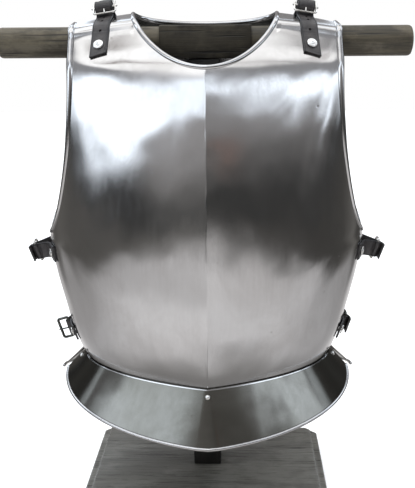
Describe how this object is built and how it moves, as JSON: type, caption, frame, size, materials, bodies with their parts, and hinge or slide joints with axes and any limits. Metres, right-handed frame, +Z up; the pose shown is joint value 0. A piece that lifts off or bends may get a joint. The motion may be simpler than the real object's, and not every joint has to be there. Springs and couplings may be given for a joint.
{
  "type": "steel cuirass (breastplate and backplate) on a wooden stand",
  "caption": "Ridged steel breastplate and backplate with flared skirts, joined by buckled black leather straps, hung on a T-shaped wooden stand with a moulded base board.",
  "frame": {"origin": "middle of the base board's flat underside", "axes": "+Z up along the post, the breastplate faces -Y, +X to the right as seen from the front"},
  "size_m": [0.521, 0.317, 0.6572],
  "materials": {
    "plate_steel": "satin, fine upright grain, lightly worn",
    "skirt_steel": "satin, slightly darker and more stained than the plates",
    "strap_leather": "black, semi-gloss, creased",
    "buckle_nickel": "nickel-plated wire, bright",
    "rivet_metal": "bright washers and hammered heads",
    "stand_wood": "dark stained, weathered grain"
  },
  "bodies": {
    "root": {"breastplate": "plate_steel", "backplate": "plate_steel", "front_skirt": "skirt_steel", "back_skirt": "skirt_steel", "shoulder_buckle_strap_right": "strap_leather", "shoulder_buckle_strap_left": "strap_leather", "shoulder_holed_strap_right": "strap_leather", "shoulder_holed_strap_left": "strap_leather", "upper_side_buckle_strap_right": "strap_leather", "upper_side_buckle_strap_left": "strap_leather", "upper_side_holed_strap_right": "strap_leather", "upper_side_holed_strap_left": "strap_leather", "lower_side_buckle_strap_right": "strap_leather", "lower_side_buckle_strap_left": "strap_leather", "lower_side_holed_strap_right": "strap_leather", "lower_side_holed_strap_left": "strap_leather", "shoulder_buckle_right": "buckle_nickel", "shoulder_buckle_left": "buckle_nickel", "upper_side_buckle_right": "buckle_nickel", "upper_side_buckle_left": "buckle_nickel", "lower_side_buckle_right": "buckle_nickel", "lower_side_buckle_left": "buckle_nickel", "shoulder_tongue_right": "buckle_nickel", "shoulder_tongue_left": "buckle_nickel", "upper_side_tongue_right": "buckle_nickel", "upper_side_tongue_left": "buckle_nickel", "lower_side_tongue_right": "buckle_nickel", "lower_side_tongue_left": "buckle_nickel", "shoulder_buckle_strap_rivet_right": "rivet_metal", "shoulder_buckle_strap_rivet_left": "rivet_metal", "shoulder_holed_strap_rivet_right": "rivet_metal", "shoulder_holed_strap_rivet_left": "rivet_metal", "upper_side_buckle_strap_rivet_right": "rivet_metal", "upper_side_buckle_strap_rivet_left": "rivet_metal", "upper_side_holed_strap_rivet_right": "rivet_metal", "upper_side_holed_strap_rivet_left": "rivet_metal", "lower_side_buckle_strap_rivet_right": "rivet_metal", "lower_side_buckle_strap_rivet_left": "rivet_metal", "lower_side_holed_strap_rivet_right": "rivet_metal", "lower_side_holed_strap_rivet_left": "rivet_metal", "front_skirt_rivet_centre": "rivet_metal", "front_skirt_rivet_right": "rivet_metal", "front_skirt_rivet_left": "rivet_metal", "back_skirt_rivet_centre": "rivet_metal", "back_skirt_rivet_right": "rivet_metal", "back_skirt_rivet_left": "rivet_metal", "base_board": "stand_wood", "post": "stand_wood", "crossbar": "stand_wood"}
  },
  "joints": []
}
